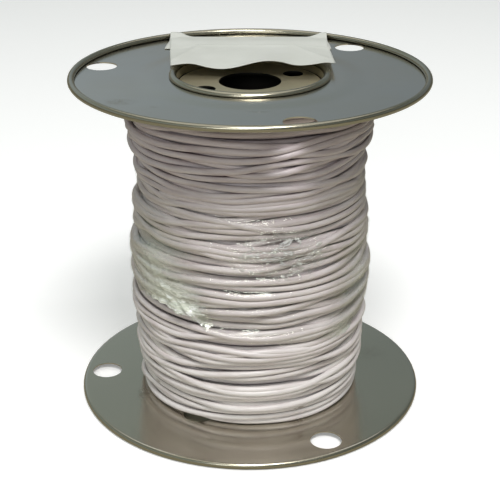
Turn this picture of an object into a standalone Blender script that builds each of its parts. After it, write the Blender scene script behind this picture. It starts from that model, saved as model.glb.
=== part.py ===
"""A metal reel of insulated building wire, standing on its lower flange.

Metres, +Z up. The origin is on the floor, on the reel's axis.
"""
import math

import bmesh
import bpy
from mathutils import Matrix, Vector

# Overall sizes of the reel
FLANGE_RADIUS = 0.08255
REEL_HEIGHT = 0.1585
SHEET = 0.0006
RIM_BEAD_RADIUS = 0.0016
GAP = 0.0003

# Raised land of each flange around the hub
LAND_MARGIN = 0.0055
LAND_SLOPE = 0.0025

# Barrel and its rolled ends
BARREL_RADIUS = 0.0341
HUB_BEAD_RADIUS = 0.00175
HUB_SETBACK = 0.0001

# Pressed arbor plates in the barrel's ends
ARBOR_RADIUS = 0.0143
DRIVE_HOLE_RADIUS = 0.0047
DRIVE_WEB = 0.0046
DRIVE_AZIMUTH = 32.0
PLATE_SHEET = 0.001
PLATE_RECESS = 0.005
PLATE_BEND = 0.0015
PLATE_SKIRT = 0.009

# Tie holes in the flanges
TIE_HOLES = 3
TIE_HOLE_RADIUS = 0.00715
TIE_EDGE = 0.0008
UPPER_TIE_AZIMUTH = 46.5
LOWER_TIE_AZIMUTH = 58.8

# Start hole for the wire's inner end, in the lower flange beside the barrel
START_HOLE_RADIUS = 0.00715
START_WEB = 0.00275
START_AZIMUTH = -120.7

# Wire and its winding
WIRE_DIAMETER = 0.003
WINDING_RADIUS = 0.055
SHOULDER_DROP = 0.0025
SHOULDER_LENGTH = 0.009
LAYER_RELIEF = 0.0007
BAND_TURNS = 4
GROOVE_DEPTH = 0.0026
GROOVE_REACH = 0.0045

# Stretch film round the middle of the winding
FILM_THICKNESS = 0.0003
FILM_WIDTH = 0.070

# Paper label on the upper flange
PAPER = 0.0003
LABEL_LEFT = -0.0415
LABEL_RIGHT = 0.039
LABEL_TAPER = 0.0045
LABEL_CREASE = 0.0465
LABEL_FRONT = 0.0055
LABEL_LIFT = 0.0004
LABEL_WAVE = 0.0018
LABEL_WAVE_LENGTH = 0.046
LABEL_WAVE_CREST = 0.012
LABEL_CELL = 0.0045

# Fineness of the round shapes
SEGMENTS = 48
HOLE_SEGMENTS = 20
BEND_STEP = 45.0
RIM_STEP = 40.0
RIM_FACETS = 7

# Heights on a flange, measured inward from the reel's end
RIM_REACH = (RIM_BEAD_RADIUS - SHEET / 2) * math.cos(math.radians(RIM_STEP / 2)) + SHEET / 2
PANEL_DEPTH = RIM_REACH + RIM_BEAD_RADIUS
PANEL_OUTSIDE = PANEL_DEPTH - SHEET
HUB_BEAD_LEVEL = HUB_SETBACK + HUB_BEAD_RADIUS
LAND_OUTSIDE = HUB_BEAD_LEVEL + GAP
WINDING_END = max(PANEL_DEPTH, LAND_OUTSIDE + SHEET) + GAP

# Radii that follow from the sizes above
BARREL_BORE = BARREL_RADIUS - SHEET
HUB_OUTSIDE = BARREL_BORE + 2 * HUB_BEAD_RADIUS
LAND_RADIUS = HUB_OUTSIDE + LAND_MARGIN
RIM_INSIDE = FLANGE_RADIUS - 2 * RIM_BEAD_RADIUS
TIE_CIRCLE = RIM_INSIDE - TIE_EDGE - TIE_HOLE_RADIUS
START_CIRCLE = HUB_OUTSIDE + START_WEB + START_HOLE_RADIUS
DRIVE_CIRCLE = ARBOR_RADIUS + DRIVE_WEB + DRIVE_HOLE_RADIUS

# The label's back corners lie on the crown of the rim
LABEL_BACK = math.sqrt((FLANGE_RADIUS - RIM_BEAD_RADIUS) ** 2 - LABEL_LEFT ** 2)


def remove_scene_objects():
    for old in list(bpy.data.objects):
        bpy.data.objects.remove(old, do_unlink=True)


def new_collection(name):
    collection = bpy.data.collections.new(name)
    bpy.context.scene.collection.children.link(collection)
    return collection


def make_material(name, colour, roughness, metallic=0.0, alpha=1.0):
    material = bpy.data.materials.new(name)
    material.use_nodes = True
    shader = material.node_tree.nodes["Principled BSDF"]
    shader.inputs["Base Color"].default_value = (*colour, 1.0)
    shader.inputs["Roughness"].default_value = roughness
    shader.inputs["Metallic"].default_value = metallic
    shader.inputs["Alpha"].default_value = alpha
    return material


def arc(centre, radius, start, end, count):
    """Points of an arc in the (radius, height) plane, angles in degrees."""
    points = []
    for step in range(count + 1):
        angle = math.radians(start + (end - start) * step / count)
        points.append((centre[0] + radius * math.cos(angle), centre[1] + radius * math.sin(angle)))
    return points


def bend_count(start, end):
    return max(1, round(abs(end - start) / BEND_STEP))


def sheet_outline(path, thickness):
    """Close a sheet's centre line into its section, half the thickness to each side."""
    left = []
    right = []
    for index, (radius, height) in enumerate(path):
        before = Vector(path[max(index - 1, 0)])
        after = Vector(path[min(index + 1, len(path) - 1)])
        here = Vector((radius, height))
        incoming = (here - before) if index else (after - here)
        outgoing = (after - here) if index < len(path) - 1 else incoming
        incoming.normalize()
        outgoing.normalize()
        normal = Vector((-(incoming.y + outgoing.y), incoming.x + outgoing.x)).normalized()
        reach = thickness / 2 / normal.dot(Vector((-incoming.y, incoming.x)))
        left.append(tuple(here + normal * reach))
        right.append(tuple(here - normal * reach))
    return left + right[::-1]


def clockwise(outline):
    """Order a closed section so that its outer side runs from top to bottom."""
    doubled_area = 0.0
    for (x1, z1), (x2, z2) in zip(outline, outline[1:] + outline[:1]):
        doubled_area += x1 * z2 - x2 * z1
    return outline if doubled_area < 0 else outline[::-1]


def turn(name, outline, collection, material):
    """Turn a closed (radius, height) section about Z."""
    mesh = bpy.data.meshes.new(name)
    section = clockwise(outline)
    edges = [(index, (index + 1) % len(section)) for index in range(len(section))]
    mesh.from_pydata([(radius, 0.0, height) for radius, height in section], edges, [])
    turned = bpy.data.objects.new(name, mesh)
    collection.objects.link(turned)
    screw = turned.modifiers.new("Turn", 'SCREW')
    screw.axis = 'Z'
    screw.angle = math.radians(360)
    screw.steps = SEGMENTS
    screw.render_steps = SEGMENTS
    screw.use_merge_vertices = False
    screw.merge_threshold = 0.0001
    screw.use_smooth_shade = True
    mesh.materials.append(material)
    return turned


def keep_evaluated(made):
    """Replace an object's mesh by its evaluated one, and shade its round faces smooth."""
    graph = bpy.context.evaluated_depsgraph_get()
    mesh = bpy.data.meshes.new_from_object(made.evaluated_get(graph))
    made.modifiers.clear()
    made.data = mesh
    mesh.shade_smooth()
    mesh.set_sharp_from_angle(angle=math.radians(35))


def hole_cutter(name, radius, place, depth, collection):
    """A round cutter along Z, centred on its place."""
    mesh = bpy.data.meshes.new(name)
    shape = bmesh.new()
    bmesh.ops.create_cone(shape, cap_ends=True, segments=HOLE_SEGMENTS,
                          radius1=radius, radius2=radius, depth=depth)
    shape.to_mesh(mesh)
    shape.free()
    cutter = bpy.data.objects.new(name, mesh)
    cutter.location = place
    cutter.hide_render = True
    cutter.display_type = 'WIRE'
    collection.objects.link(cutter)
    return cutter


def cut_ring_of_holes(target, count, radius, circle, azimuth, height, depth, cutters):
    for index in range(count):
        angle = math.radians(azimuth + 360.0 * index / count)
        place = (circle * math.cos(angle), circle * math.sin(angle), height)
        name = f"{target.name}_hole_{len(target.modifiers)}"
        cutter = hole_cutter(name, radius, place, depth, cutters)
        cut = target.modifiers.new(cutter.name, 'BOOLEAN')
        cut.operation = 'DIFFERENCE'
        cut.solver = 'EXACT'
        cut.object = cutter


def put_on_top(made):
    """Turn a piece made for the lower end over, to the reel's upper end."""
    made.data.transform(Matrix.Translation((0, 0, REEL_HEIGHT)) @ Matrix.Rotation(math.pi, 4, 'X'))


def flange_path():
    """Centre line of a flange's sheet, from the hub to the end of the rolled rim."""
    land_mid = LAND_OUTSIDE + SHEET / 2
    panel_mid = PANEL_OUTSIDE + SHEET / 2
    bead_centre = (FLANGE_RADIUS - RIM_BEAD_RADIUS, RIM_REACH)
    rolled = arc(bead_centre, RIM_BEAD_RADIUS - SHEET / 2, 90, 90 - RIM_STEP * RIM_FACETS, RIM_FACETS)
    hub_edge = (BARREL_RADIUS + GAP, land_mid)
    return [hub_edge, (LAND_RADIUS, land_mid), (LAND_RADIUS + LAND_SLOPE, panel_mid)] + rolled


def make_flange(name, azimuth, collection, cutters, material):
    flange = turn(name, sheet_outline(flange_path(), SHEET), collection, material)
    cut_ring_of_holes(flange, TIE_HOLES, TIE_HOLE_RADIUS, TIE_CIRCLE, azimuth,
                      PANEL_OUTSIDE + SHEET / 2, 4 * SHEET, cutters)
    return flange


def make_flanges(collection, cutters, material):
    """Both flanges, the lower one with the start hole too."""
    lower = make_flange("lower_flange", LOWER_TIE_AZIMUTH, collection, cutters, material)
    cut_ring_of_holes(lower, 1, START_HOLE_RADIUS, START_CIRCLE, START_AZIMUTH,
                      PANEL_OUTSIDE + SHEET / 2, 4 * SHEET, cutters)
    keep_evaluated(lower)
    upper = make_flange("upper_flange", -UPPER_TIE_AZIMUTH, collection, cutters, material)
    keep_evaluated(upper)
    put_on_top(upper)


def make_barrel(collection, material):
    """The barrel, with both ends rolled over the flanges into a round bead."""
    wall = BARREL_RADIUS - SHEET / 2
    bead_mid = HUB_BEAD_RADIUS - SHEET / 2
    count = bend_count(0, 180)
    lower = arc((wall + bead_mid, HUB_BEAD_LEVEL), bead_mid, 360, 180, count)
    upper = arc((wall + bead_mid, REEL_HEIGHT - HUB_BEAD_LEVEL), bead_mid, 180, 0, count)
    barrel = turn("barrel_tube", sheet_outline(lower + upper, SHEET), collection, material)
    keep_evaluated(barrel)


def make_arbor_plate(name, azimuth, collection, cutters, material):
    """A plate pressed into the barrel's end, with its skirt turned inward."""
    plate_mid = PLATE_RECESS + PLATE_SHEET / 2
    skirt_mid = BARREL_BORE - GAP - PLATE_SHEET / 2
    bend_mid = PLATE_BEND - PLATE_SHEET / 2
    corner = arc((skirt_mid - bend_mid, plate_mid + bend_mid), bend_mid, -90, 0, bend_count(-90, 0))
    path = [(ARBOR_RADIUS, plate_mid)] + corner + [(skirt_mid, PLATE_RECESS + PLATE_SKIRT)]
    plate = turn(name, sheet_outline(path, PLATE_SHEET), collection, material)
    cut_ring_of_holes(plate, 2, DRIVE_HOLE_RADIUS, DRIVE_CIRCLE, azimuth,
                      plate_mid, 4 * PLATE_SHEET, cutters)
    keep_evaluated(plate)
    return plate


def layer_edges(lower, bottom):
    """One end of the winding, from its bore outward: the side of each layer of wire."""
    bore = BARREL_RADIUS + GAP
    edge = WINDING_RADIUS - SHOULDER_DROP
    layers = round((edge - bore) / WIRE_DIAMETER)
    pitch = (edge - bore) / layers
    inward = 1 if lower else -1
    points = [(bore, bottom + inward * LAYER_RELIEF)]
    for layer in range(layers):
        points.append((bore + (layer + 0.5) * pitch, bottom))
        points.append((bore + (layer + 1) * pitch, bottom + inward * LAYER_RELIEF))
    return points


def winding_grooves():
    """Heights of the grooves round the winding, between its bands of turns laid side by side."""
    low = WINDING_END + SHOULDER_LENGTH
    side = REEL_HEIGHT - 2 * low
    bands = max(1, round(side / (BAND_TURNS * WIRE_DIAMETER)))
    return [low + side * band / bands for band in range(1, bands)]


def winding_side(low, high, clearance):
    """The winding's outer side between two heights, at a clearance from it."""
    grooves = winding_grooves()
    bends = [groove + shift * GROOVE_REACH for groove in grooves for shift in (-1, 0, 1)]
    points = []
    for height in [low] + [bend for bend in bends if low + GAP < bend < high - GAP] + [high]:
        from_groove = min((abs(height - groove) for groove in grooves), default=GROOVE_REACH)
        depth = GROOVE_DEPTH * max(0.0, 1 - from_groove / GROOVE_REACH)
        points.append((WINDING_RADIUS - depth + clearance, height))
    return points


def make_winding(collection, material):
    upper_end = REEL_HEIGHT - WINDING_END
    lower = layer_edges(True, WINDING_END)
    upper = layer_edges(False, upper_end)
    side = winding_side(WINDING_END + SHOULDER_LENGTH, upper_end - SHOULDER_LENGTH, 0.0)
    winding = turn("wire_winding", lower + side + upper[::-1], collection, material)
    keep_evaluated(winding)


def make_film(collection, material):
    """A sleeve pulled tight over the middle of the winding, down into its grooves."""
    bottom = (REEL_HEIGHT - FILM_WIDTH) / 2
    top = bottom + FILM_WIDTH
    inside = winding_side(bottom, top, GAP)
    outside = winding_side(bottom, top, GAP + FILM_THICKNESS)
    film = turn("stretch_wrap", inside + outside[::-1], collection, material)
    keep_evaluated(film)


def smooth_step(value, start, end):
    share = min(1.0, max(0.0, (value - start) / (end - start)))
    return share * share * (3 - 2 * share)


def label_height(x, y):
    """Height of the label's underside: on the panel, over the rim and over the hub bead."""
    radius = math.hypot(x, y)
    on_panel = REEL_HEIGHT - PANEL_OUTSIDE + GAP
    on_bead = REEL_HEIGHT + LABEL_LIFT
    over_rim = smooth_step(radius, RIM_INSIDE - 3 * RIM_BEAD_RADIUS, RIM_INSIDE - GAP)
    over_hub = smooth_step(-y, -LABEL_CREASE, -HUB_OUTSIDE - HUB_BEAD_RADIUS)
    height = on_panel + (on_bead - on_panel) * max(over_rim, over_hub)
    free = min(1.0, max(0.0, (BARREL_BORE - y) / (BARREL_BORE - LABEL_FRONT)))
    crest = math.cos(2 * math.pi * (x - LABEL_WAVE_CREST) / LABEL_WAVE_LENGTH)
    inside_bore = 1 - smooth_step(radius, BARREL_BORE - 4 * HUB_BEAD_RADIUS, BARREL_BORE - GAP)
    wave = LABEL_WAVE * crest
    return height + free * free * (wave if wave > 0 else wave * inside_bore)


def make_label(collection, material):
    """The label's sheet as a grid, lifted to its place and given the paper's thickness."""
    width = LABEL_RIGHT - LABEL_LEFT
    length = LABEL_BACK - LABEL_FRONT
    mesh = bpy.data.meshes.new("paper_label")
    sheet = bmesh.new()
    bmesh.ops.create_grid(sheet, x_segments=round(width / LABEL_CELL), y_segments=round(length / LABEL_CELL),
                          size=0.5)
    for corner in sheet.verts:
        corner.co.x = LABEL_LEFT + (corner.co.x + 0.5) * width
        corner.co.y = LABEL_FRONT + (corner.co.y + 0.5) * length
        narrowed = LABEL_TAPER * (LABEL_RIGHT - corner.co.x) / width
        corner.co.x += narrowed * (1 - smooth_step(corner.co.y, LABEL_FRONT, LABEL_CREASE))
        corner.co.z = label_height(corner.co.x, corner.co.y)
    sheet.to_mesh(mesh)
    sheet.free()
    label = bpy.data.objects.new("paper_label", mesh)
    collection.objects.link(label)
    mesh.materials.append(material)
    thicken = label.modifiers.new("Paper", 'SOLIDIFY')
    thicken.thickness = PAPER
    thicken.offset = 1.0
    keep_evaluated(label)


def main():
    remove_scene_objects()
    parts = new_collection("wire_reel")
    cutters = new_collection("cutters")
    steel = make_material("tinned_steel", (0.52, 0.53, 0.52), 0.3, metallic=1.0)
    plate_steel = make_material("plate_steel", (0.48, 0.47, 0.44), 0.38, metallic=1.0)
    insulation = make_material("white_insulation", (0.80, 0.76, 0.74), 0.42)
    film = make_material("clear_film", (0.93, 0.94, 0.92), 0.08, alpha=0.25)
    paper = make_material("white_paper", (0.84, 0.85, 0.82), 0.85)
    make_flanges(parts, cutters, steel)
    make_barrel(parts, steel)
    make_arbor_plate("lower_arbor_plate", DRIVE_AZIMUTH, parts, cutters, plate_steel)
    put_on_top(make_arbor_plate("upper_arbor_plate", -DRIVE_AZIMUTH, parts, cutters, plate_steel))
    make_winding(parts, insulation)
    make_film(parts, film)
    make_label(parts, paper)


main()
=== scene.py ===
"""The looks of a steel reel of white building wire: finish, turns of wire, film and label."""
import math

import bmesh
import bpy
import numpy as np
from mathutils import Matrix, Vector


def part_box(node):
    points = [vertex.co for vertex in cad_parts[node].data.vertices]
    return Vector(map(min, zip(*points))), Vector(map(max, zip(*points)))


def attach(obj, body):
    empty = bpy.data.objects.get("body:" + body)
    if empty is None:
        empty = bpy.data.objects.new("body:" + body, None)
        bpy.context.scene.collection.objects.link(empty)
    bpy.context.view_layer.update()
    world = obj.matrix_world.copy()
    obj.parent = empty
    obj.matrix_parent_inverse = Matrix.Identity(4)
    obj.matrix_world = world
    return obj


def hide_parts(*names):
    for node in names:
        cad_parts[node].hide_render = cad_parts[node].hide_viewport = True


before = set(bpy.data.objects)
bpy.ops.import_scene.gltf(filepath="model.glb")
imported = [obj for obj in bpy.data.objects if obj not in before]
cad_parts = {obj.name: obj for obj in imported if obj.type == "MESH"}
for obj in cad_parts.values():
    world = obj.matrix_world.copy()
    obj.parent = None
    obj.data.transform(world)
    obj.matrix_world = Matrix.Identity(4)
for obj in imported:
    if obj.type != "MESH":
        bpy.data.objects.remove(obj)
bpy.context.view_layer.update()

# Sizes read from the frame
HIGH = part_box("lower_flange")[1]
FLANGE_RADIUS = HIGH.x
PANEL_DEPTH = HIGH.z
REEL_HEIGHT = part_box("upper_flange")[1].z
HUB_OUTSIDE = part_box("barrel_tube")[1].x
HUB_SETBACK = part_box("barrel_tube")[0].z
PLATE_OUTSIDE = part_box("lower_arbor_plate")[1].x
PLATE_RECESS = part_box("lower_arbor_plate")[0].z
PLATE_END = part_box("lower_arbor_plate")[1].z
WINDING_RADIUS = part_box("wire_winding")[1].x
FILM_LOW, FILM_HIGH = (corner.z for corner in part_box("stretch_wrap"))
LABEL_LOW, LABEL_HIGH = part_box("paper_label")

# Sheet steel
SHEET = 0.0006
GAP = 0.0003
RIM_BEAD = PANEL_DEPTH / 2
RIM_START = 90.0
RIM_END = -200.0
HUB_BEAD = 0.00175
BARREL_BORE = HUB_OUTSIDE - 2 * HUB_BEAD
LAND_MARGIN = 0.0055
LAND_SLOPE = 0.012
PLATE_SHEET = 0.001
PLATE_BEND = 0.0015

# Fineness of the turned and cut shapes
TURN_SEGMENTS = 192
HOLE_SEGMENTS = 72
RIM_STEPS = 24
BEAD_STEPS = 14
BEND_STEPS = 8
SLOPE_STEPS = 8
SHARP_ANGLE = math.radians(40)

# A face is flat where its normal rises above the first value, and steep where it stays under the second
FLAT_NORMAL = 0.9
STEEP_NORMAL = 0.5

# Holes
TIE_HOLES = 3
TIE_HOLE_RADIUS = 0.00715
TIE_CIRCLE = 0.0714
START_CIRCLE = 0.0469
START_AZIMUTH = -120.7
UPPER_TIE_AZIMUTH = 46.5
LOWER_TIE_AZIMUTH = 58.8
ARBOR_RADIUS = 0.0143
DRIVE_HOLES = 2
DRIVE_HOLE_RADIUS = 0.0047
DRIVE_CIRCLE = 0.0236
DRIVE_AZIMUTH = 32.0

# Wire and its layers
WIRE = 0.003
LAYERS = 3
LAYER_RISE = 0.00245
TURN_PITCH = 0.0031
WINDING_SEED = 12
SAMPLES = 180
AHEAD = SAMPLES // 3
CELL = 0.0001
FIRST_ANGLE = math.pi / 2
HIDDEN_LAYER = (4, 8)
SEEN_LAYER = (2, 12)
CORE_STEPS = 60

# How the wire settles: slip along the reel, steps of a slide, its probe, stiffness and tension
SLIP = 0.0024
SETTLING = 40
SLIDE_PARTS = 22
PROBE_NARROW = 0.1
PROBE_WIDE = 0.7
PROBE_FADE = 1.6
STIFFNESS = 8
TENSION = 260
LOOSE = 0.001
PRESS = 0.0025
RADIUS_SOFTENING = 8
HEIGHT_SOFTENING = 3

# How freely the wire wanders: little at the flanges, and less at the foot than above it
END_FREEDOM = 0.15
END_OPENING = 6
FOOT_FREEDOM = 0.6
ADDED_FREEDOM = 0.4
FREEDOM_START = 0.15
FREEDOM_END = 0.40

# Profile of the layers beneath: a broad swell, a waist above it, a full shoulder and a slim foot
CORE = 0.044
SWELL = 0.0028
SWELL_LEVEL = 0.064
SWELL_REACH = 0.028
WAIST = 0.0011
WAIST_LEVEL = 0.112
WAIST_REACH = 0.007
SHOULDER = 0.0029
SHOULDER_REACH = 0.024
FOOT_DROP = 0.0009
FOOT_LENGTH = 0.012

# Stretch film; a wave is its height, its count round the reel and its phase
FILM_SEED = 5
FILM_COLUMNS = 560
FILM_ROWS = 150
FILM_LIFT = 0.0002
FILM_MARGIN = 0.0015
LOWER_EDGE_WAVES = ((0.0012, 3, 0.6), (0.0006, 11, 0.0))
UPPER_EDGE_WAVES = ((0.0014, 2, 2.0), (0.0006, 13, 0.0))
GATHER_ANGLE = -140.0
GATHER_SPREAD = 34.0
GATHER_RISE = 0.017
HEM_SHARE = 0.05
HEM_LIFT = 0.0002
HEM_BULGE = 0.0012
HEM_PLEATS = 61
CROWN_REACH = 8
SKIN_SMOOTHING = ((1, 6), (0, 3), (1, 4))
LOOSE_RIDGES = 150

# Crumpled places of the film: azimuth, height, half width, half height, slant, number of creases
CRUMPLES = ((-75.0, 0.091, 0.020, 0.010, 0.12, 130),
            (-119.5, 0.060, 0.011, 0.008, -0.5, 70),
            (-131.0, 0.074, 0.016, 0.014, -0.6, 20),
            (-66.0, 0.062, 0.012, 0.014, 0.9, 30),
            (-44.0, 0.044, 0.014, 0.010, 0.4, 40))

# Folded label: its sheet, its fold and its side edges
PAPER = 0.00014
FOLD_RADIUS = 0.00035
FOLD_TURN = 60
FOLD_ROWS = 5
LABEL_COLUMNS = 91
LOWER_ROWS = 24
UPPER_ROWS = 76
LOWER_FRONT = 0.0478
FRONT_OVERHANG = 0.0004
LABEL_CREASE = 0.0465
LABEL_LEFT = -0.0402
LABEL_RIGHT = 0.0388
LOWER_SPREAD = (0.0018, 0.0012)
BACK_DRIFT = (0.0009, -0.0004)
FRONT_DRIFT = (0.0028, 0.0008)

# Creases in the label from start to end, and how high each rises
LABEL_CREASES = (((-0.045, 0.0395), (0.045, 0.0385), 0.0009),
                 ((-0.024, 0.038), (-0.036, 0.014), 0.0007),
                 ((0.021, 0.038), (0.036, 0.014), 0.0007),
                 ((-0.033, 0.077), (-0.0355, 0.060), 0.0006))
CREASE_END = 0.003
CREASE_WIDTH = 0.0022

# The label's loose front: drooping corners, soft bellies and the waved free edge
TONGUE_HALF_WIDTH = 0.0225
TONGUE_SPREAD = 0.0115
DROOP = 0.09
DROOP_START = 0.2
BACK_BELLY = 0.0007
FRONT_BELLY = 0.0005
WAVE_HEIGHT = 0.0019
WAVE_LENGTH = 0.044
WAVE_CREST = 0.009
WAVE_FADE_IN = (-0.036, -0.022)
WAVE_FADE_OUT = (0.014, 0.028)
CORNER_RISE = 0.0013
CORNER_REACH = (0.026, 0.037)
EDGE_LIFT = 0.0002

# Stains and scuffs: centre, half sizes and strength
STEEL_STAINS = (((-0.056, -0.041, 0.156), (0.010, 0.006, 0.002), 0.35),
                ((-0.040, -0.048, 0.156), (0.0025, 0.0012, 0.002), 0.5),
                ((0.003, -0.055, 0.156), (0.006, 0.0012, 0.002), 0.5),
                ((0.023, -0.044, 0.003), (0.010, 0.008, 0.002), 0.5),
                ((-0.051, -0.021, 0.003), (0.004, 0.008, 0.002), 0.8),
                ((0.060, 0.020, 0.003), (0.012, 0.010, 0.002), 0.2))
WIRE_SCUFFS = (((-0.0445, -0.0293, 0.0143), (0.0030, 0.0030, 0.0010), 3.0),
               ((0.0234, -0.0478, 0.0106), (0.0040, 0.0030, 0.0009), 3.0),
               ((-0.019, -0.049, 0.030), (0.0030, 0.0030, 0.0007), 1.5))
STAIN_COLOUR = (0.17, 0.14, 0.09)
STAIN_ROUGHNESS = 0.3
SMUDGE_ROUGHNESS = 0.06
CLOUD_SHADE = 0.93
SCUFF_COLOUR = (0.42, 0.36, 0.32)

# White insulation: tones along the wire, painted shade that darkens it towards the top by share of the
# reel's height, and painted shade in the grooves between turns
WIRE_SHADES = ((0.30, (0.66, 0.60, 0.59)), (0.50, (0.76, 0.715, 0.705)), (0.70, (0.82, 0.785, 0.77)))
# Painted shade: the wire darkens towards the top, where the upper flange shades it
WIRE_TOP_SHADE = ((0.12, (1.0, 1.0, 1.0)), (0.36, (0.92, 0.895, 0.91)), (0.60, (0.92, 0.885, 0.91)),
               (0.74, (0.82, 0.78, 0.81)), (0.94, (0.74, 0.685, 0.73)))
# Painted shade in the grooves between turns: the colour they darken to, and the samples that find them
GROOVE_SHADE_COLOUR = (0.085, 0.045, 0.055)
GROOVE_SHADE_SAMPLES = 8

# Milky places of the film: centre, half sizes and strength
FILM_HAZE = ((-0.046, -0.036, 0.076), (0.032, 0.034, 0.030), 0.62)
FILM_TAIL = ((-0.033, -0.045, 0.063), (0.024, 0.020, 0.015), 0.62)
FILM_KNOT = ((-0.0275, -0.0485, 0.0585), (0.012, 0.014, 0.008), 1.0)
FILM_SIDE = ((0.050, -0.026, 0.066), (0.022, 0.034, 0.036), 0.45)
FILM_PATCH = ((0.040, -0.037, 0.044), (0.018, 0.020, 0.012), 0.5)
FILM_GLITTER = ((0.014, -0.053, 0.090), (0.026, 0.024, 0.013), 1.0)
FILM_ALPHA = 0.08
GLITTER_ALPHA = 0.16
# Painted glints on the film: how white its lines are in the crumpled places and in the tail
PAINTED_GLINT_STRENGTH = 2.2
TAIL_PAINTED_GLINTS = 0.6
GLITTER_BUMP = 2.4
FILM_BUMP = 0.2
MILKY_COLOUR = (0.75, 0.785, 0.69)
# Colour of the painted glints
PAINTED_GLINT_COLOUR = (0.97, 0.97, 0.97)

# Floor and room: colour of the room by the height looked at, and its strength from left to right
FLOOR_REACH = 40.0
FLOOR_WHITE = (0.97, 0.97, 0.97)
FLOOR_DIM = (0.40, 0.37, 0.28)
FLOOR_GLOW = 0.2
# Radius of a painted shadow on the floor under the hub, seen through the holes
HUB_SHADE = 0.056
ROOM_COLOURS = ((0.0, (0.17, 0.155, 0.10)), (0.12, (0.22, 0.21, 0.16)), (0.27, (0.32, 0.38, 0.44)),
                (0.50, (0.27, 0.315, 0.29)), (0.66, (0.17, 0.18, 0.155)), (1.0, (0.14, 0.145, 0.13)))
ROOM_SIDE = 0.25
ROOM_LEFT = 1.3
ROOM_RIGHT = 0.7

# Camera that sees the reel as the photograph does
PHOTO_SIDE = 500
SENSOR = 36.0
FOCAL_PIXELS = 1230.3
PRINCIPAL_ROW = 190
CAMERA_DISTANCE = 0.54184
CAMERA_HEIGHT = 0.30821
CAMERA_PITCH = 0.36646


def link(piece):
    bpy.context.scene.collection.objects.link(piece)
    return piece


def mesh_object(name, points, faces, material, smooth=True):
    mesh = bpy.data.meshes.new(name)
    mesh.from_pydata([tuple(point) for point in points], [], [tuple(face) for face in faces])
    mesh.materials.append(material)
    if smooth:
        mesh.shade_smooth()
    return link(bpy.data.objects.new(name, mesh))


def grid_faces(index):
    """Faces between the neighbouring rows and columns of a grid of point numbers."""
    corners = [index[:-1, :-1], index[1:, :-1], index[1:, 1:], index[:-1, 1:]]
    return np.stack(corners, axis=2).reshape(-1, 4).tolist()


def smooth_step(value, start, end):
    share = np.clip((value - start) / (end - start), 0.0, 1.0)
    return share * share * (3 - 2 * share)


# Node materials

def fill_ramp(node, stops):
    """Give a colour ramp its stops, each a position and a colour."""
    elements = node.color_ramp.elements
    while len(elements) < len(stops):
        elements.new(0.5)
    for element, (position, colour) in zip(elements, stops):
        element.position = position
        element.color = (*colour, 1.0)


def fill_band(node, source, target):
    """Let a Map Range node carry the source range over to the target range."""
    node.inputs["From Min"].default_value, node.inputs["From Max"].default_value = source
    node.inputs["To Min"].default_value, node.inputs["To Max"].default_value = target


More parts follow.
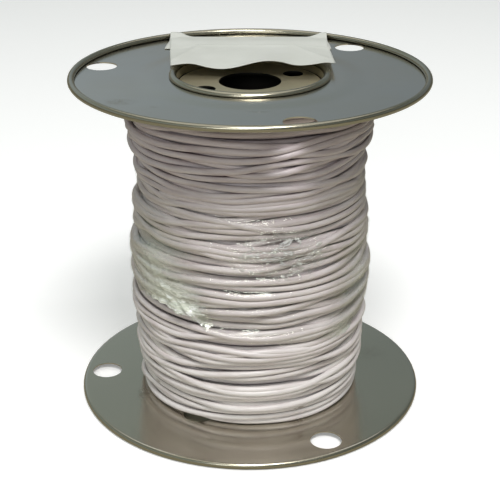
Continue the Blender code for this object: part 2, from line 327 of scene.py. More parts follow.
class Nodes:
    """A short way to write a material's node tree."""

    def __init__(self, name):
        self.material = bpy.data.materials.new(name)
        self.material.use_nodes = True
        self.tree = self.material.node_tree
        self.shader = self.tree.nodes["Principled BSDF"]
        self.place = self.add("ShaderNodeTexCoord").outputs["Object"]

    def add(self, kind, **settings):
        node = self.tree.nodes.new(kind)
        for key, value in settings.items():
            setattr(node, key, value)
        return node

    def join(self, source, target):
        self.tree.links.new(source, target)

    def fill(self, socket, value):
        """Link a node's output to a socket, or set the socket to a number or a colour."""
        if isinstance(value, bpy.types.NodeSocket):
            self.join(value, socket)
        elif isinstance(value, tuple):
            socket.default_value = (*value, 1.0)
        else:
            socket.default_value = value

    def noise(self, scale, detail=3.0, rough=0.5, stretch=(1, 1, 1), distortion=0.0):
        mapping = self.add("ShaderNodeMapping")
        mapping.inputs["Scale"].default_value = stretch
        self.join(self.place, mapping.inputs["Vector"])
        node = self.add("ShaderNodeTexNoise")
        node.inputs["Scale"].default_value = scale
        node.inputs["Detail"].default_value = detail
        node.inputs["Roughness"].default_value = rough
        node.inputs["Distortion"].default_value = distortion
        self.join(mapping.outputs["Vector"], node.inputs["Vector"])
        return node.outputs["Fac"]

    def band(self, value, source, target):
        """Carry a value over from the source range to the target range, held at its ends."""
        node = self.add("ShaderNodeMapRange")
        fill_band(node, source, target)
        self.join(value, node.inputs["Value"])
        return node.outputs["Result"]

    def ramp(self, value, stops):
        node = self.add("ShaderNodeValToRGB")
        fill_ramp(node, stops)
        self.join(value, node.inputs["Fac"])
        return node.outputs["Color"]

    def mix(self, factor, first, second, blend='MIX'):
        """Mix two colours; sockets 0, 6 and 7 of a Mix node are its factor and colours, 2 the result."""
        node = self.add("ShaderNodeMix", data_type='RGBA', blend_type=blend)
        for number, value in ((0, factor), (6, first), (7, second)):
            self.fill(node.inputs[number], value)
        return node.outputs[2]

    def math(self, operation, first, second=0.5):
        node = self.add("ShaderNodeMath", operation=operation)
        self.fill(node.inputs[0], first)
        self.fill(node.inputs[1], second)
        return node.outputs[0]

    def total(self, *values):
        """The sum of several values."""
        result = values[0]
        for value in values[1:]:
            result = self.math('ADD', result, value)
        return result

    def product(self, *values):
        """The product of several values."""
        result = values[0]
        for value in values[1:]:
            result = self.math('MULTIPLY', result, value)
        return result

    def spot(self, centre, size, strength=1.0):
        """A soft round spot of the given half sizes: strongest at its middle and 0 outside."""
        mapping = self.add("ShaderNodeMapping", vector_type='TEXTURE')
        mapping.inputs["Location"].default_value = centre
        mapping.inputs["Scale"].default_value = size
        self.join(self.place, mapping.inputs["Vector"])
        ball = self.add("ShaderNodeTexGradient", gradient_type='SPHERICAL')
        self.join(mapping.outputs["Vector"], ball.inputs["Vector"])
        return self.product(ball.outputs["Fac"], strength)

    def stains(self, places):
        """How stained each place is: ragged spots of the given centre, half sizes and strength."""
        ragged = self.band(self.noise(420.0, rough=0.6), (0.35, 0.65), (0.1, 1.0))
        return self.product(ragged, self.total(*[self.spot(*place) for place in places]))

    def bump(self, height, strength, distance):
        node = self.add("ShaderNodeBump")
        node.inputs["Strength"].default_value = strength
        node.inputs["Distance"].default_value = distance
        self.join(height, node.inputs["Height"])
        self.join(node.outputs["Normal"], self.shader.inputs["Normal"])

    def set(self, **values):
        for key, value in values.items():
            self.fill(self.shader.inputs[key.replace("_", " ")], value)


def steel_material(name, colour, roughness):
    """Sheet steel with faint clouds and smudges and a few stains."""
    made = Nodes(name)
    smudge = made.noise(34.0, rough=0.55)
    cloud = made.noise(9.0, detail=2.0)
    shade = tuple(CLOUD_SHADE * part for part in colour)
    tint = made.ramp(cloud, [(0.35, shade), (0.65, colour)])
    stain = made.stains(STEEL_STAINS)
    rough = made.band(smudge, (0.35, 0.75), (roughness, roughness + SMUDGE_ROUGHNESS))
    rough = made.total(rough, made.product(stain, STAIN_ROUGHNESS))
    made.set(Base_Color=made.mix(stain, tint, STAIN_COLOUR), Metallic=1.0, Roughness=rough)
    made.bump(cloud, strength=0.10, distance=0.002)
    return made.material


def insulation_material():
    """White insulation with painted shade towards the top and between its turns, and dusty in places."""
    made = Nodes("white_insulation")
    along = made.noise(60.0, detail=2.0, stretch=(1, 1, 9))
    dust = made.noise(520.0, rough=0.6)
    split = made.add("ShaderNodeSeparateXYZ")
    made.join(made.place, split.inputs["Vector"])
    share = made.band(split.outputs["Z"], (0.0, REEL_HEIGHT), (0.0, 1.0))
    # Painted shade darkening the wire towards the top
    top_shade = made.ramp(share, WIRE_TOP_SHADE)
    tint = made.mix(1.0, made.ramp(along, WIRE_SHADES), top_shade, blend='MULTIPLY')
    # Painted shade: ambient occlusion darkens the grooves between turns
    groove = made.add("ShaderNodeAmbientOcclusion", samples=GROOVE_SHADE_SAMPLES, only_local=True)
    groove.inputs["Distance"].default_value = WIRE
    groove_shade = made.band(groove.outputs["AO"], (0.15, 0.60), (1.0, 0.0))
    tint = made.mix(groove_shade, tint, GROOVE_SHADE_COLOUR)
    speck = made.total(made.band(dust, (0.70, 0.78), (0.0, 0.35)), made.stains(WIRE_SCUFFS))
    made.set(Base_Color=made.mix(speck, tint, SCUFF_COLOUR), Roughness=0.34, IOR=1.5)
    made.bump(dust, strength=0.06, distance=0.0002)
    return made.material


def film_painted_glints(made, whitened):
    """Painted glints: thin white lines along the veins of a noise, wherever the film is whitened."""
    vein = made.noise(170.0, rough=0.6, stretch=(0.4, 0.4, 1.8), distortion=0.8)
    line = made.band(made.math('ABSOLUTE', made.math('SUBTRACT', vein, 0.5)), (0.0, 0.045), (1.0, 0.0))
    return made.product(line, whitened, PAINTED_GLINT_STRENGTH)


def film_material():
    """Clear film, milky where it is gathered and glittering where it is crumpled, with painted glints of
    white lines.
    """
    made = Nodes("clear_film")
    crumple = made.noise(230.0, detail=4.0, rough=0.66, stretch=(0.45, 0.45, 1.6), distortion=1.2)
    tail = made.spot(*FILM_TAIL)
    knot = made.spot(*FILM_KNOT)
    glitter = made.spot(*FILM_GLITTER)
    cloudy = made.total(made.spot(*FILM_HAZE), tail, made.spot(*FILM_SIDE), made.spot(*FILM_PATCH), knot)
    patchy = made.product(cloudy, made.band(crumple, (0.3, 0.7), (0.5, 1.25)))
    # Painted glints: white lines where the film is crumpled and in its tail
    crease = film_painted_glints(made, made.total(glitter, knot, made.product(tail, TAIL_PAINTED_GLINTS)))
    veil = made.total(patchy, crease)
    made.set(Base_Color=made.mix(crease, MILKY_COLOUR, PAINTED_GLINT_COLOUR),
             Metallic=made.band(veil, (0.15, 0.40), (1.0, 0.2)),
             Roughness=made.band(crease, (0.0, 1.0), (0.1, 0.25)),
             Alpha=made.total(veil, made.product(glitter, GLITTER_ALPHA), FILM_ALPHA))
    lively = made.total(made.product(glitter, GLITTER_BUMP), knot, FILM_BUMP)
    made.bump(made.product(crumple, lively), strength=1.0, distance=0.003)
    return made.material


def paper_material(name, dark, light):
    """Uncoated paper, mottled between a dark and a light shade."""
    made = Nodes(name)
    fibre = made.noise(700.0, detail=4.0, rough=0.6)
    mottled = made.noise(60.0, rough=0.6)
    made.set(Base_Color=made.ramp(mottled, [(0.3, dark), (0.7, light)]), Roughness=0.72)
    made.bump(made.mix(0.35, fibre, mottled), strength=0.2, distance=0.0003)
    return made.material


def floor_material():
    """A floor white to the camera and dim in reflections, as the floor of a dim room would be, with a
    painted shadow under the hub.
    """
    made = Nodes("studio_floor")
    seen = made.add("ShaderNodeLightPath").outputs["Is Camera Ray"]
    # Painted shadow: under the hub the camera sees the floor dim
    unshaded_floor = made.band(made.spot((0, 0, 0), (HUB_SHADE, HUB_SHADE, HUB_SHADE)), (0.0, 0.1), (1.0, 0.0))
    white = made.product(seen, unshaded_floor)
    made.set(Base_Color=made.mix(white, FLOOR_DIM, FLOOR_WHITE), Roughness=0.9,
             Emission_Color=(1.0, 1.0, 1.0), Emission_Strength=made.product(white, FLOOR_GLOW))
    return made.material


# Turned sheet-metal shapes

def arc(centre, radius, start, end, count):
    angles = np.radians(np.linspace(start, end, count + 1))
    return [(centre[0] + radius * math.cos(a), centre[1] + radius * math.sin(a)) for a in angles]


def sheet_outline(path, thickness):
    """Close a sheet's centre line into its section, half the thickness to each side."""
    line = np.array(path)
    step = np.diff(line, axis=0)
    step /= np.linalg.norm(step, axis=1)[:, None]
    before = np.vstack([step[:1], step])
    after = np.vstack([step, step[-1:]])
    across = np.stack([-(before + after)[:, 1], (before + after)[:, 0]], axis=1)
    across /= np.linalg.norm(across, axis=1)[:, None]
    reach = thickness / 2 / (across * np.stack([-before[:, 1], before[:, 0]], axis=1)).sum(axis=1)
    offset = across * reach[:, None]
    return np.vstack([line + offset, (line - offset)[::-1]])


def turned_mesh(name, outline, material):
    """Turn a closed (radius, height) section about Z."""
    section = np.array(outline)
    x, z = section[:, 0], section[:, 1]
    if np.sum(x * np.roll(z, -1) - np.roll(x, -1) * z) < 0:
        section = section[::-1]
    count = len(section)
    turns = np.linspace(0, 2 * math.pi, TURN_SEGMENTS, endpoint=False)
    points = [(r * math.cos(t), r * math.sin(t), h) for t in turns for r, h in section]
    faces = []
    for turn in range(TURN_SEGMENTS):
        here, there = turn * count, (turn + 1) % TURN_SEGMENTS * count
        for index in range(count):
            after = (index + 1) % count
            faces.append((here + index, there + index, there + after, here + after))
    made = mesh_object(name, points, faces, material)
    made.data.set_sharp_from_angle(angle=SHARP_ANGLE)
    return made


def keep_evaluated(made):
    """Replace an object's mesh by its evaluated one."""
    graph = bpy.context.evaluated_depsgraph_get()
    mesh = bpy.data.meshes.new_from_object(made.evaluated_get(graph))
    made.modifiers.clear()
    made.data = mesh


def make_cutter(place, radius, depth):
    shape = bmesh.new()
    bmesh.ops.create_cone(shape, cap_ends=True, segments=HOLE_SEGMENTS,
                          radius1=radius, radius2=radius, depth=depth)
    mesh = bpy.data.meshes.new("cutter")
    shape.to_mesh(mesh)
    shape.free()
    cutter = link(bpy.data.objects.new("cutter", mesh))
    cutter.location = place
    return cutter


def cut_holes(target, places, radius, thickness):
    """Cut round holes through a flat sheet of the given thickness."""
    cutters = [make_cutter(place, radius, 4 * thickness) for place in places]
    for cutter in cutters:
        cut = target.modifiers.new("Hole", 'BOOLEAN')
        cut.object = cutter
        cut.solver = 'EXACT'
    keep_evaluated(target)
    target.data.set_sharp_from_angle(angle=SHARP_ANGLE)
    for cutter in cutters:
        bpy.data.objects.remove(cutter)


def ring_places(count, circle, azimuth, height):
    angles = np.radians(azimuth + 360.0 * np.arange(count) / count)
    return [(circle * math.cos(a), circle * math.sin(a), height) for a in angles]


def turn_over(made):
    """Turn a piece made for the lower end over, to the reel's upper end."""
    for vertex in made.data.vertices:
        vertex.co = (vertex.co.x, -vertex.co.y, REEL_HEIGHT - vertex.co.z)


def refinish(made, material, chosen):
    """Give the chosen faces another finish."""
    made.data.materials.append(material)
    for face in made.data.polygons:
        if chosen(face):
            face.material_index = len(made.data.materials) - 1


def flange_path(panel):
    """Centre line of the lower flange's sheet: land round the hub, slope, panel and rolled rim."""
    land = HUB_SETBACK + HUB_BEAD + GAP + SHEET / 2
    land_radius = HUB_OUTSIDE + LAND_MARGIN
    bead = (FLANGE_RADIUS - RIM_BEAD, PANEL_DEPTH - RIM_BEAD)
    hub = [(BARREL_BORE + SHEET + GAP, land), (land_radius - SHEET, land)]
    slope = [(land_radius + LAND_SLOPE * t, land + (panel - land) * float(smooth_step(t, 0, 1)))
             for t in np.linspace(0, 1, SLOPE_STEPS + 1)]
    rim = [(bead[0] - 3 * SHEET, panel), (bead[0] - SHEET, panel)]
    return hub + slope + rim + arc(bead, RIM_BEAD - SHEET / 2, RIM_START, RIM_END, RIM_STEPS)


def make_flange(name, azimuth, start_hole, material, shaded_rim_material):
    """A flange as it lies at the lower end, its rolled rim in a darker copy of the steel that paints shade
    on it.
    """
    panel = PANEL_DEPTH - SHEET / 2
    made = turned_mesh(name, sheet_outline(flange_path(panel), SHEET), material)
    places = ring_places(TIE_HOLES, TIE_CIRCLE, azimuth, panel)
    if start_hole:
        places += ring_places(1, START_CIRCLE, START_AZIMUTH, panel)
    cut_holes(made, places, TIE_HOLE_RADIUS, SHEET)
    rim = FLANGE_RADIUS - 2 * RIM_BEAD - SHEET
    # Painted shade: the rolled rim takes the darker copy of the steel
    refinish(made, shaded_rim_material, lambda face: face.center.xy.length > rim and face.normal.z < FLAT_NORMAL)
    return made


def make_barrel(material, recess_material, shaded_inside_material):
    """The barrel, its two ends rolled outward into beads."""
    wall = BARREL_BORE + SHEET / 2
    level = HUB_SETBACK + HUB_BEAD
    middle = HUB_BEAD - SHEET / 2
    plate = PLATE_RECESS + PLATE_SHEET / 2
    lower = arc((wall + middle, level), middle, 360, 180, BEAD_STEPS)
    upper = arc((wall + middle, REEL_HEIGHT - level), middle, 180, 0, BEAD_STEPS)
    path = lower + [(wall, plate), (wall, REEL_HEIGHT - plate)] + upper
    made = turned_mesh("rolled_barrel", sheet_outline(path, SHEET), material)
    # The recess wall takes the plate's finish; deeper inside the barrel, painted shade
    for finish, depth in ((recess_material, HUB_SETBACK + 2 * HUB_BEAD - SHEET), (shaded_inside_material, plate)):
        refinish(made, finish, lambda face: depth < face.center.z < REEL_HEIGHT - depth
                 and face.center.xy.length < wall)
    return made


def make_arbor_plate(name, azimuth, material, shaded_inside_material):
    """An arbor plate as it lies at the lower end, with its arbor hole, drive holes and bent skirt."""
    middle = PLATE_RECESS + PLATE_SHEET / 2
    skirt = PLATE_OUTSIDE - PLATE_SHEET / 2
    bend = PLATE_BEND - PLATE_SHEET / 2
    corner = arc((skirt - bend, middle + bend), bend, -90, 0, BEND_STEPS)
    inner = [(ARBOR_RADIUS, middle), (ARBOR_RADIUS + SHEET, middle), (skirt - bend - SHEET, middle)]
    outline = sheet_outline(inner + corner + [(skirt, PLATE_END)], PLATE_SHEET)
    made = turned_mesh(name, outline, material)
    cut_holes(made, ring_places(DRIVE_HOLES, DRIVE_CIRCLE, azimuth, middle), DRIVE_HOLE_RADIUS, PLATE_SHEET)
    # Painted shade: the plate's faces inside the barrel and the walls of its holes are nearly black
    refinish(made, shaded_inside_material, lambda face: face.center.z > middle + PLATE_SHEET / 4
             or (abs(face.normal.z) < STEEP_NORMAL and face.center.xy.length < skirt - bend))
    return made


# The wire, laid turn by turn over the turns beneath it

def wander(turns, random, amplitude, shortest, longest, count):
    """Smooth random wandering along the wire, from waves of several lengths in turns."""
    periods = np.exp(random.uniform(math.log(shortest), math.log(longest), count))
    phases = random.uniform(0, 2 * math.pi, count)
    weights = random.uniform(0.5, 1.0, count)
    waves = [w * np.sin(2 * math.pi * turns / p + f) for w, p, f in zip(weights, periods, phases)]
    return amplitude * np.sum(waves, axis=0) / math.sqrt(np.sum(weights ** 2) / 2)


def core_radius(height):
    """Radius of the layers beneath, which gives the winding its swell, waist, shoulder and foot."""
    swell = SWELL * np.exp(-((height - SWELL_LEVEL) / SWELL_REACH) ** 2)
    waist = WAIST * np.exp(-((height - WAIST_LEVEL) / WAIST_REACH) ** 2)
    shoulder = SHOULDER * smooth_step(height, WAIST_LEVEL, WAIST_LEVEL + SHOULDER_REACH)
    foot = FOOT_DROP * (1 - smooth_step(height, PANEL_DEPTH, PANEL_DEPTH + FOOT_LENGTH))
    return CORE + swell - waist + shoulder - foot


def press(radii, heights):
    """Press the wire where turns pile up, so that no lump stands far above the layer."""
    neat = core_radius(heights) + (LAYERS - 1) * LAYER_RISE + WIRE / 2 + LOOSE
    excess = np.maximum(0.0, radii - neat)
    return radii - excess + PRESS * (1 - np.exp(-excess / PRESS))


class Winding:
    """The height of the winding's surface over angle and height, as the wire is laid on it."""

    def __init__(self, low, high):
        self.low = low
        self.columns = int(round((high - low) / CELL)) + 1
        self.surface = np.tile(core_radius(low + CELL * np.arange(self.columns)), (SAMPLES, 1))
        self.margin = int(WIRE / 2 / CELL)
        self.offsets = np.arange(-self.margin, self.margin + 1)
        self.section = np.sqrt(np.maximum(0.0, (WIRE / 2) ** 2 - (self.offsets * CELL) ** 2))

    def window(self, heights):
        middle = np.round((heights - self.low) / CELL).astype(int)
        middle = np.clip(middle, self.margin, self.columns - 1 - self.margin)
        return middle[:, None] + self.offsets[None, :]

    def rest_radius(self, rows, heights):
        return (self.surface[rows[:, None], self.window(heights)] + self.section).max(axis=1)

    def lay(self, rows, heights, radii):
        cells = self.window(heights)
        here = self.surface[rows[:, None], cells]
        self.surface[rows[:, None], cells] = np.maximum(here, radii[:, None] + self.section)


def slide(winding, rows, wanted, start):
    """Let a stretch of stiff wire slide off crests and into grooves, as far as its friction lets it."""
    heights = wanted.copy()
    for step in range(SETTLING):
        probe = WIRE * (PROBE_NARROW + PROBE_WIDE * max(0.0, 1 - PROBE_FADE * step / SETTLING))
        slope = winding.rest_radius(rows, heights + probe) - winding.rest_radius(rows, heights - probe)
        heights = heights - np.clip(slope / (2 * probe), -1, 1) * WIRE / SLIDE_PARTS
        heights = np.clip(heights, wanted - SLIP, wanted + SLIP)
        for _ in range(STIFFNESS):
            padded = np.concatenate([start, heights, heights[-1:] * 2 - heights[-2:-1]])
            heights = (padded[len(start) - 1:-2] + 2 * padded[len(start):-1] + padded[len(start) + 1:]) / 4
    return heights


def tighten(radii, before):
    """Pull the wire taut: it bridges dips in straight chords, and rests on what stands out."""
    step = 2 * math.pi / SAMPLES
    inverse = np.concatenate([1 / before, 1 / radii])
    for _ in range(TENSION):
        chord = (inverse[:-2] + inverse[2:]) / (2 * math.cos(step))
        inverse[1:-1] = np.minimum(inverse[1:-1], chord)
        inverse[:len(before)] = 1 / before
    return 1 / inverse[len(before):]


def led_heights(turns, layer_turns, low, span, random):
    """Height that the wire is led to: up and down the reel, with a slow and a livelier wandering."""
    sweep = np.abs((turns / layer_turns + 1) % 2 - 1)
    freedom = np.minimum(1.0, END_OPENING * np.minimum(sweep, 1 - sweep) + END_FREEDOM)
    lively = FOOT_FREEDOM + ADDED_FREEDOM * smooth_step(sweep, FREEDOM_START, FREEDOM_END)
    led = low + WIRE / 2 + span * sweep
    led += freedom * wander(turns, random, amplitude=0.0003, shortest=2.5, longest=9.0, count=9)
    led += freedom * lively * wander(turns, random, amplitude=0.0017, shortest=0.6, longest=1.9, count=14)
    return led


def lay_wire(random):
    """Radius and height of the wire's middle at each sample, from the first turn to the last."""
    low = PANEL_DEPTH + GAP / 2
    high = REEL_HEIGHT - low
    span = high - low - WIRE
    layer_turns = span / TURN_PITCH
    total = int(LAYERS * layer_turns)
    winding = Winding(low, high)
    turns = np.arange((total + 1) * SAMPLES + AHEAD) / SAMPLES
    wanted = np.clip(led_heights(turns, layer_turns, low, span, random), low + WIRE / 2, high - WIRE / 2)
    heights = np.zeros(total * SAMPLES)
    radii = np.zeros(total * SAMPLES)
    last_heights = np.full(2, wanted[0])
    last_radii = np.full(2, core_radius(wanted[0]) + WIRE / 2)
    rows = np.arange(SAMPLES + AHEAD) % SAMPLES
    for turn in range(total):
        stretch = slice(turn * SAMPLES, (turn + 1) * SAMPLES + AHEAD)
        settled = slide(winding, rows, wanted[stretch], last_heights)
        settled = np.clip(settled, low + WIRE / 2, high - WIRE / 2)
        taut = press(tighten(winding.rest_radius(rows, settled), last_radii), settled)
        kept = slice(turn * SAMPLES, (turn + 1) * SAMPLES)
        heights[kept] = settled[:SAMPLES]
        radii[kept] = taut[:SAMPLES]
        winding.lay(rows[:SAMPLES], settled[:SAMPLES], taut[:SAMPLES])
        last_heights = settled[SAMPLES - 2:SAMPLES]
        last_radii = taut[SAMPLES - 2:SAMPLES]
    return radii, heights, winding, int(round(layer_turns))


def soften(values, passes):
    for _ in range(passes):
        padded = np.concatenate([values[:1], values, values[-1:]])
        values = (padded[:-2] + 2 * padded[1:-1] + padded[2:]) / 4
    return values


def tube(name, radii, heights, first, fineness, material):
    """A round tube along a stretch of the wire, with closed ends."""
    every, sides = fineness
    index = np.arange(0, len(radii), every)
    angle = FIRST_ANGLE + 2 * math.pi * (first + index) / SAMPLES
    around = 2 * math.pi * np.arange(sides) / sides
    radius = radii[index][:, None] + WIRE / 2 * np.cos(around)[None, :]
    height = heights[index][:, None] + WIRE / 2 * np.sin(around)[None, :]
    points = np.stack([radius * np.cos(angle)[:, None], radius * np.sin(angle)[:, None], height], axis=2)
    rings = len(index)
    ring, side = np.meshgrid(np.arange(rings - 1), np.arange(sides), indexing="ij")
    here = ring * sides + side
    after = ring * sides + (side + 1) % sides
    quads = np.stack([here, after, after + sides, here + sides], axis=2).reshape(-1, 4)
    faces = [tuple(quad[::-1]) for quad in quads.tolist()]
    faces.append(tuple(range(sides)))
    faces.append(tuple(range(rings * sides - 1, (rings - 1) * sides - 1, -1)))
    return mesh_object(name, points.reshape(-1, 3), faces, material)


def make_inner_layers(material):
    """The plain body that the outer layers of wire lie on."""
    low = PANEL_DEPTH + GAP
    high = REEL_HEIGHT - low
    inside = BARREL_BORE + SHEET + GAP
    side = [(core_radius(height) + GAP, height) for height in np.linspace(low, high, CORE_STEPS)]
    return turned_mesh("inner_layers", [(inside, low)] + side + [(inside, high)], material)


def make_winding(material):
    radii, heights, winding, layer = lay_wire(np.random.RandomState(WINDING_SEED))
    radii = soften(radii, RADIUS_SOFTENING)
    heights = soften(heights, HEIGHT_SOFTENING)
    pieces = []
    for number in range(LAYERS):
        first = number * layer * SAMPLES
        last = len(radii) if number == LAYERS - 1 else (number + 1) * layer * SAMPLES + 1
        fineness = HIDDEN_LAYER if number == 0 else SEEN_LAYER
        pieces.append(tube(f"wire_layer_{number + 1}", radii[first:last], heights[first:last],
                           first, fineness, material))
    pieces.append(make_inner_layers(material))
    return pieces, winding


# Stretch film

def envelope(winding):
    """A taut skin over the winding: it rests on the crowns of the turns and bridges the grooves."""
    skin = winding.surface.copy()
    for shift in range(-CROWN_REACH, CROWN_REACH + 1, 2):
        skin = np.maximum(skin, np.roll(winding.surface, shift, axis=1))
    skin = np.maximum(skin, np.maximum(np.roll(skin, 1, axis=0), np.roll(skin, -1, axis=0)))
    for axis, reach in SKIN_SMOOTHING:
        skin = sum(np.roll(skin, shift, axis=axis) for shift in range(-reach, reach + 1)) / (2 * reach + 1)
    return np.maximum(skin, winding.surface) + FILM_LIFT


def skin_radius(winding, angle, height):
    """Radius of the taut skin at each angle and height."""
    skin = envelope(winding)
    cell = np.clip(np.round((height - winding.low) / CELL).astype(int), 0, winding.columns - 1)
    turn = ((angle - FIRST_ANGLE) / (2 * math.pi) * SAMPLES) % SAMPLES
    here = turn.astype(int) % SAMPLES
    share = turn % 1
    return (1 - share) * skin[here, cell] + share * skin[(here + 1) % SAMPLES, cell]


def ridge(angle, height, middle, level, slant, length, width, amount):
    """One drawn-out ridge of film that slants across the winding."""
    along = WINDING_RADIUS * ((angle - middle + math.pi) % (2 * math.pi) - math.pi)
    up = height - level
    main = along * math.cos(slant) + up * math.sin(slant)
    across = -along * math.sin(slant) + up * math.cos(slant)
    return amount * np.exp(-(main / length) ** 2 - (across / width) ** 2)


def loose_ridge(angle, height, random):
    """One ridge anywhere on the film."""
    return ridge(angle, height,
                 middle=random.uniform(0, 2 * math.pi),
                 level=random.uniform(FILM_LOW, FILM_HIGH),
                 slant=random.normal(1.2, 0.5),
                 length=random.uniform(0.006, 0.022),
                 width=random.uniform(0.0006, 0.0013),
                 amount=random.uniform(0.00008, 0.0004))


def sharp_crease(angle, height, random, azimuth, level, half_width, half_height, slant):
    """One short sharp crease in a crumpled place of the film."""
    middle = math.radians(azimuth) + random.normal(0, 0.5) * half_width / WINDING_RADIUS
    width = random.uniform(0.0006, 0.0011)
    return ridge(angle, height, middle,
                 level=level + random.normal(0, 0.5) * half_height,
                 slant=random.normal(slant, 0.35),
                 length=random.uniform(0.001, 0.005),
                 width=width,
                 amount=width * random.uniform(0.1, 0.6))


def wrinkles(angle, height, random):
    """Loose ridges all round the reel, and small sharp creases where the film is crumpled."""
    lift = np.zeros_like(angle)
    for _ in range(LOOSE_RIDGES):
        lift += loose_ridge(angle, height, random)
    for *place, count in CRUMPLES:
        for _ in range(count):
            lift += sharp_crease(angle, height, random, *place)
    return lift


def edge_waves(angle, waves):
    return sum(rise * np.sin(count * angle + phase) for rise, count, phase in waves)


def make_film(winding, material):
    """The film's skin: its lower edge is gathered up and pleated at one side."""
    column, row = np.meshgrid(np.arange(FILM_COLUMNS), np.linspace(0, 1, FILM_ROWS), indexing="ij")
    angle = 2 * math.pi * column / FILM_COLUMNS
    gathered = np.exp(-(((np.degrees(angle) - GATHER_ANGLE + 180) % 360 - 180) / GATHER_SPREAD) ** 2)
    bottom = FILM_LOW + FILM_MARGIN + GATHER_RISE * gathered + edge_waves(angle, LOWER_EDGE_WAVES)
    top = FILM_HIGH - FILM_MARGIN + edge_waves(angle, UPPER_EDGE_WAVES)
    height = bottom + (top - bottom) * row
    pleats = HEM_BULGE * gathered * (0.6 + 0.4 * np.sin(HEM_PLEATS * angle))
    hem = np.exp(-(row / HEM_SHARE) ** 2) * (HEM_LIFT + pleats)
    lift = wrinkles(angle, height, np.random.RandomState(FILM_SEED))
    radius = skin_radius(winding, angle, height) + lift + hem
    points = np.stack([radius * np.cos(angle), radius * np.sin(angle), height], axis=2).reshape(-1, 3)
    index = np.arange(FILM_COLUMNS * FILM_ROWS).reshape(FILM_COLUMNS, FILM_ROWS)
    return mesh_object("clear_stretch_film", points, grid_faces(np.vstack([index, index[:1]])), material)


# Paper label

def label_lift(x, y):
    """Height of the label's underside over the panel, the rim and the hub bead."""
    radius = np.hypot(x, y)
    on_panel = REEL_HEIGHT - PANEL_DEPTH + SHEET + GAP / 2
    on_bead = REEL_HEIGHT + GAP / 2
    rim_inside = FLANGE_RADIUS - 2 * RIM_BEAD
    over_rim = smooth_step(radius, rim_inside - 3 * RIM_BEAD, rim_inside - GAP)
    over_hub = smooth_step(-y, -LABEL_CREASE, -HUB_OUTSIDE - HUB_BEAD)
    return on_panel + (on_bead - on_panel) * np.maximum(over_rim, over_hub)


def paper_crease(x, y, start, end, rise):
    """A soft crease in the paper from start to end, in (x, y)."""
    run = np.subtract(end, start)
    length = math.hypot(*run)
    along = ((x - start[0]) * run[0] + (y - start[1]) * run[1]) / length
    across = ((y - start[1]) * run[0] - (x - start[0]) * run[1]) / length
    begun = smooth_step(along, -CREASE_END, CREASE_END)
    ended = smooth_step(along, length - CREASE_END, length + CREASE_END)
    return rise * begun * (1 - ended) * np.exp(-np.abs(across) / CREASE_WIDTH)


def front_wave(x):
    """The free front edge's rise and dip across its width."""
    fade = smooth_step(x, *WAVE_FADE_IN) * (1 - smooth_step(x, *WAVE_FADE_OUT))
    wave = WAVE_HEIGHT * np.cos(2 * math.pi * (x - WAVE_CREST) / WAVE_LENGTH) * fade
    return wave + CORNER_RISE * smooth_step(x, *CORNER_REACH) + EDGE_LIFT


def lower_point(share, y):
    """A point of the label's lower layer, share of the way across it at depth y."""
    forward = smooth_step(-y, -LABEL_HIGH.y, -LABEL_CREASE)
    left = LABEL_LEFT - LOWER_SPREAD[0] * forward
    right = LABEL_RIGHT + LOWER_SPREAD[1] * forward
    x = left + (right - left) * share
    return x, label_lift(x, y) + PAPER


def upper_point(share, y):
    """A point of the label's upper layer, share of the way across it at depth y."""
    forward = smooth_step(-y, -LABEL_HIGH.y, -LABEL_CREASE)
    past = np.clip((LABEL_CREASE - y) / (LABEL_CREASE - LABEL_LOW.y), 0, 1)
    left = LABEL_LEFT + BACK_DRIFT[0] * forward + FRONT_DRIFT[0] * past
    right = LABEL_RIGHT + BACK_DRIFT[1] * forward + FRONT_DRIFT[1] * past
    x = left + (right - left) * share
    corner = np.maximum(0, np.abs(x) - TONGUE_HALF_WIDTH - TONGUE_SPREAD * past)
    droop = DROOP * corner * smooth_step(past, 0.0, DROOP_START)
    belly = BACK_BELLY * np.sin(math.pi * np.clip(forward, 0, 1)) + FRONT_BELLY * np.sin(math.pi * past)
    height = label_lift(x, y) + PAPER + 2 * FOLD_RADIUS + belly - droop
    for start, end, rise in LABEL_CREASES:
        height = height + paper_crease(x, y, start, end, rise)
    over_bore = 1 - smooth_step(np.hypot(x, y), BARREL_BORE - 4 * HUB_BEAD, BARREL_BORE - GAP)
    free = np.clip((BARREL_BORE - y) / (BARREL_BORE - LABEL_LOW.y), 0, 1) ** 2
    wave = front_wave(x)
    return x, height + free * np.where(wave > 0, wave, wave * over_bore)


def label_rows(point, depths):
    """Rows of points across one of the label's layers."""
    across = np.linspace(0, 1, LABEL_COLUMNS)
    rows = []
    for y in depths:
        x, z = point(across, y)
        rows.append(np.stack([x, np.full_like(x, y), z], axis=1))
    return rows


def fold_rows(start):
    """Rows of points round the label's fold, from its lower layer to its upper one."""
    rows = []
    for turn in np.radians(np.linspace(-FOLD_TURN, FOLD_TURN, FOLD_ROWS)):
        bend = start.copy()
        bend[:, 1] += FOLD_RADIUS * math.cos(turn)
        bend[:, 2] += FOLD_RADIUS * (1 + math.sin(turn))
        rows.append(bend)
    return rows


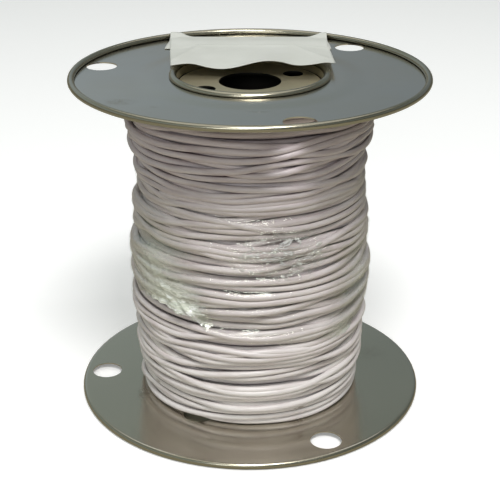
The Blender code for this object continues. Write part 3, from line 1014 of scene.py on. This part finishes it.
def make_label(material, edge_shade_material):
    """One sheet, folded under at its back edge: a short lower layer and a long upper one."""
    back = LABEL_HIGH.y - FOLD_RADIUS
    lower = label_rows(lower_point, np.linspace(LOWER_FRONT, back, LOWER_ROWS))
    upper = label_rows(upper_point, np.linspace(back, LABEL_LOW.y - FRONT_OVERHANG, UPPER_ROWS))
    rows = lower + fold_rows(lower[-1]) + upper
    index = np.arange(len(rows) * LABEL_COLUMNS).reshape(len(rows), LABEL_COLUMNS)
    label = mesh_object("folded_label", np.vstack(rows), grid_faces(index), material)
    label.data.materials.append(edge_shade_material)
    thicken = label.modifiers.new("Paper", 'SOLIDIFY')
    thicken.thickness = PAPER
    thicken.offset = 0.0
    # The cut edges take the dark paper of painted shade
    thicken.material_offset_rim = 1
    keep_evaluated(label)
    return label


# Floor, light and camera

def make_floor():
    side = FLOOR_REACH
    points = [(-side, -side, 0), (side, -side, 0), (side, side, 0), (-side, side, 0)]
    floor = mesh_object("floor", points, [(0, 1, 2, 3)], floor_material(), smooth=False)


def area_light(name, place, size, power, colour=(1, 1, 1)):
    """A soft rectangular light that faces the middle of the reel."""
    light = bpy.data.lights.new(name, 'AREA')
    light.shape = 'RECTANGLE'
    light.size, light.size_y = size
    light.energy = power
    light.color = colour
    lamp = link(bpy.data.objects.new(name, light))
    lamp.location = place
    aim = Vector((0, 0, REEL_HEIGHT / 2)) - Vector(place)
    lamp.rotation_euler = aim.to_track_quat('-Z', 'Y').to_euler()


def make_world():
    """A plain room: dim at the horizon, palest a little above it, and brighter on the left."""
    world = bpy.data.worlds.new("studio")
    bpy.context.scene.world = world
    world.use_nodes = True
    tree = world.node_tree
    background = tree.nodes["Background"]
    place = tree.nodes.new("ShaderNodeTexCoord")
    split = tree.nodes.new("ShaderNodeSeparateXYZ")
    tree.links.new(place.outputs["Generated"], split.inputs["Vector"])
    ramp = tree.nodes.new("ShaderNodeValToRGB")
    fill_ramp(ramp, ROOM_COLOURS)
    tree.links.new(split.outputs["Z"], ramp.inputs["Fac"])
    tree.links.new(ramp.outputs["Color"], background.inputs["Color"])
    side = tree.nodes.new("ShaderNodeMapRange")
    fill_band(side, (-ROOM_SIDE, ROOM_SIDE), (ROOM_LEFT, ROOM_RIGHT))
    tree.links.new(split.outputs["X"], side.inputs["Value"])
    tree.links.new(side.outputs["Result"], background.inputs["Strength"])


def make_light():
    area_light("top_softbox", place=(0.0, 0.25, 1.4), size=(1.8, 1.5), power=6.5)
    area_light("front_softbox", place=(0.14, -0.80, 1.40), size=(0.55, 0.45), power=17,
               colour=(1.0, 0.99, 0.98))
    area_light("low_softbox", place=(-0.20, -1.23, 0.66), size=(0.60, 0.25), power=2.8)
    make_world()
    bpy.context.scene.view_settings.view_transform = 'Standard'


def make_camera():
    data = bpy.data.cameras.new("camera")
    data.sensor_width = SENSOR
    data.lens = FOCAL_PIXELS / PHOTO_SIDE * data.sensor_width
    data.shift_y = (PRINCIPAL_ROW - PHOTO_SIDE / 2) / PHOTO_SIDE
    camera = link(bpy.data.objects.new("camera", data))
    camera.location = (0, -CAMERA_DISTANCE, CAMERA_HEIGHT)
    camera.rotation_euler = (math.pi / 2 - CAMERA_PITCH, 0, 0)
    bpy.context.scene.camera = camera


def dress(piece, slot, *nodes):
    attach(piece, "root")
    if nodes:
        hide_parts(*nodes)


def make_reel():
    """The steel pieces: two flanges, the barrel and two arbor plates."""
    flange_steel = steel_material("flange_steel", colour=(0.61, 0.58, 0.51), roughness=0.18)
    # Painted shade: a darker copy of the flange steel, on the rolled rims and the barrel's beads
    shaded_rim_steel = steel_material("shaded_rim_steel", colour=(0.42, 0.395, 0.31), roughness=0.22)
    plate_steel = steel_material("plate_steel", colour=(0.55, 0.50, 0.36), roughness=0.50)
    # Painted shade: nearly black steel inside the barrel and on the plates' faces within it, where little
    # light reaches
    shaded_inside_steel = steel_material("shaded_inside_steel", colour=(0.03, 0.028, 0.024), roughness=0.5)
    lower = make_flange("lower_rolled_flange", LOWER_TIE_AZIMUTH, True, flange_steel, shaded_rim_steel)
    dress(lower, "flange_steel", "lower_flange")
    upper = make_flange("upper_rolled_flange", -UPPER_TIE_AZIMUTH, False, flange_steel, shaded_rim_steel)
    turn_over(upper)
    dress(upper, "flange_steel", "upper_flange")
    dress(make_barrel(shaded_rim_steel, plate_steel, shaded_inside_steel), "flange_steel", "barrel_tube")
    lower_plate = make_arbor_plate("lower_pressed_plate", DRIVE_AZIMUTH, plate_steel, shaded_inside_steel)
    dress(lower_plate, "plate_steel", "lower_arbor_plate")
    upper_plate = make_arbor_plate("upper_pressed_plate", -DRIVE_AZIMUTH, plate_steel, shaded_inside_steel)
    turn_over(upper_plate)
    dress(upper_plate, "plate_steel", "upper_arbor_plate")


def main():
    make_camera()
    make_floor()
    make_light()
    make_reel()
    pieces, winding = make_winding(insulation_material())
    for piece in pieces:
        dress(piece, "insulation", "wire_winding")
    dress(make_film(winding, film_material()), "film", "stretch_wrap")
    paper = paper_material("white_paper", dark=(0.52, 0.53, 0.49), light=(0.56, 0.57, 0.535))
    # Painted shade: the paper's cut edges are coloured dark
    paper_edge_shade = paper_material("paper_edge_shade", dark=(0.13, 0.125, 0.085), light=(0.18, 0.17, 0.12))
    dress(make_label(paper, paper_edge_shade), "paper", "paper_label")


main()
